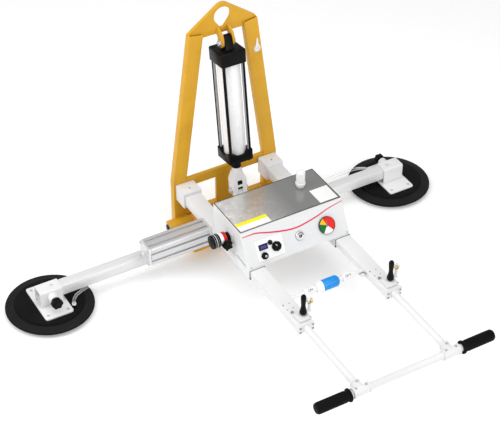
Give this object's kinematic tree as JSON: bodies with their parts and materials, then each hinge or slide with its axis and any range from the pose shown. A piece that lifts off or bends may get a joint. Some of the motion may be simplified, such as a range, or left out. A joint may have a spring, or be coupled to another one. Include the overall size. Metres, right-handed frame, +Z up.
{
  "type": "vacuum glass lifter",
  "caption": "Vacuum glass lifter: two suction pads on telescopic arms, with a control box and push handle on a frame that tilts under a tall hoist bail, driven by a cylinder.",
  "frame": {"origin": "middle of the footprint, at floor level", "axes": "+Z up, X along the suction arms, -Y towards the push handle, +Y towards the hoist bail"},
  "size_m": [1.66, 1.1864, 0.857],
  "materials": {
    "yellow_paint": "satin paint",
    "silver_paint": "silver paint",
    "aluminium": "anodised",
    "steel": "polished sheet",
    "chrome": "polished",
    "black_plastic": "matte",
    "black_metal": "black anodised",
    "rubber": "matte",
    "blue_plastic": "gloss",
    "white_plastic": "gloss",
    "clear_hose": "translucent"
  },
  "bodies": {
    "frame": {"arm_sleeve": "silver_paint", "tilt_plate": "yellow_paint", "cylinder_lug": "silver_paint", "beam_left": "silver_paint", "beam_right": "silver_paint", "fore_beam_left": "silver_paint", "fore_beam_right": "silver_paint", "stop_block_left": "silver_paint", "stop_block_right": "silver_paint", "handle_tube_left": "silver_paint", "handle_tube_right": "silver_paint", "handle_bar": "silver_paint", "grip_left": "rubber", "grip_right": "rubber", "tank_profile": "aluminium", "tank_cap_left": "aluminium", "tank_cap_right": "black_metal", "control_box": "steel", "panel": "white_plastic", "key_switch": "chrome", "gauge": "black_plastic", "silencer": "white_plastic", "regulator_bracket": "silver_paint", "regulator_body": "black_metal", "slide_tube": "silver_paint", "valve_block_left": "silver_paint", "valve_block_right": "silver_paint", "hinge_pin": "black_metal"},
    "bail": {"leg_left": "yellow_paint", "leg_right": "yellow_paint", "eye_plate": "yellow_paint", "cross_frame": "yellow_paint", "top_pin": "steel"},
    "cylinder": {"cylinder_cap": "black_metal", "cylinder_barrel": "chrome", "cylinder_head": "black_metal"},
    "rod": {"piston_rod": "chrome", "fork": "silver_paint"},
    "left_arm": {"arm_left": "silver_paint", "bracket_left": "silver_paint", "disc_left": "rubber", "seal_left": "rubber", "hose_left": "clear_hose"},
    "right_arm": {"arm_right": "silver_paint", "bracket_right": "silver_paint", "disc_right": "rubber", "seal_right": "rubber", "hose_right": "clear_hose"},
    "left_clamp": {"clamp_knob_left": "black_plastic"},
    "right_clamp": {"clamp_knob_right": "black_plastic"},
    "mode_knob": {"big_knob": "black_plastic"},
    "trim_knob": {"small_knob": "black_plastic"},
    "button": {"push_button": "black_plastic"},
    "key": {"key_rotor": "chrome"},
    "needle": {"gauge_needle": "black_plastic"},
    "regulator_dial": {"regulator_knob": "black_plastic"},
    "lock_knob": {"star_knob": "black_plastic"},
    "slide_valve": {"slide_sleeve": "blue_plastic"},
    "left_lever": {"lever_left": "black_plastic"},
    "right_lever": {"lever_right": "black_plastic"}
  },
  "joints": [
    {"name": "tilt", "type": "hinge", "parent": "frame", "child": "bail", "pos_m": [0.09, 0.54625, 0.0225], "axis": [-1, 0, 0], "range_deg": [0, 90]},
    {"name": "cylinder_swing", "type": "hinge", "parent": "bail", "child": "cylinder", "pos_m": [0.09, 0.55085, 0.722], "axis": [-1, 0, 0], "range_deg": [0, 3]},
    {"name": "rod_slide", "type": "slide", "parent": "cylinder", "child": "rod", "axis": [0, -0.129, -0.9916], "range_m": [0, 0.21]},
    {"name": "left_arm_slide", "type": "slide", "parent": "frame", "child": "left_arm", "axis": [1, 0, 0], "range_m": [0, 0.18]},
    {"name": "right_arm_slide", "type": "slide", "parent": "frame", "child": "right_arm", "axis": [1, 0, 0], "range_m": [0, 0.18]},
    {"name": "left_clamp_turn", "type": "hinge", "parent": "left_arm", "child": "left_clamp", "pos_m": [-0.68, 0.34425, 0.0725], "axis": [0, -1, 0], "range_deg": [-180, 180]},
    {"name": "right_clamp_turn", "type": "hinge", "parent": "right_arm", "child": "right_clamp", "pos_m": [0.68, 0.44425, 0.0725], "axis": [0, 1, 0], "range_deg": [-180, 180]},
    {"name": "mode_knob_turn", "type": "hinge", "parent": "frame", "child": "mode_knob", "pos_m": [0.009, 0.07871, 0.21332], "axis": [0, -0.878, 0.4787], "range_deg": [-135, 135]},
    {"name": "trim_knob_turn", "type": "hinge", "parent": "frame", "child": "trim_knob", "pos_m": [-0.04, 0.07033, 0.19796], "axis": [0, -0.878, 0.4787], "range_deg": [-135, 135]},
    {"name": "button_press", "type": "slide", "parent": "frame", "child": "button", "axis": [0, 0.878, -0.4787], "range_m": [0, 0.002], "stiffness_N_per_m": 400},
    {"name": "key_turn", "type": "hinge", "parent": "frame", "child": "key", "pos_m": [0.102, 0.08087, 0.21728], "axis": [0, -0.878, 0.4787], "range_deg": [-90, 0]},
    {"name": "needle_turn", "type": "hinge", "parent": "frame", "child": "needle", "pos_m": [0.207, 0.08206, 0.21947], "axis": [0, -0.878, 0.4787], "range_deg": [-135, 135]},
    {"name": "regulator_turn", "type": "hinge", "parent": "frame", "child": "regulator_dial", "pos_m": [-0.17, 0.18925, 0.222], "axis": [-1, 0, 0], "range_deg": [-180, 180]},
    {"name": "lock_turn", "type": "hinge", "parent": "frame", "child": "lock_knob", "pos_m": [-0.1306, 0.15425, 0.218], "axis": [0, -1, 0], "range_deg": [-180, 180]},
    {"name": "slide_valve_shift", "type": "slide", "parent": "frame", "child": "slide_valve", "axis": [1, 0, 0], "range_m": [0, 0.015]},
    {"name": "left_lever_tilt", "type": "hinge", "parent": "frame", "child": "left_lever", "pos_m": [-0.0647, -0.21675, 0.188], "axis": [1, 0, 0], "range_deg": [-20, 20]},
    {"name": "right_lever_tilt", "type": "hinge", "parent": "frame", "child": "right_lever", "pos_m": [0.2667, -0.21675, 0.188], "axis": [1, 0, 0], "range_deg": [-20, 20]}
  ],
  "couplings": [
    {"joint": "rod_slide", "follows": "tilt", "m_per_rad": 0.1329},
    {"joint": "cylinder_swing", "follows": "tilt", "ratio": 0.029854}
  ]
}
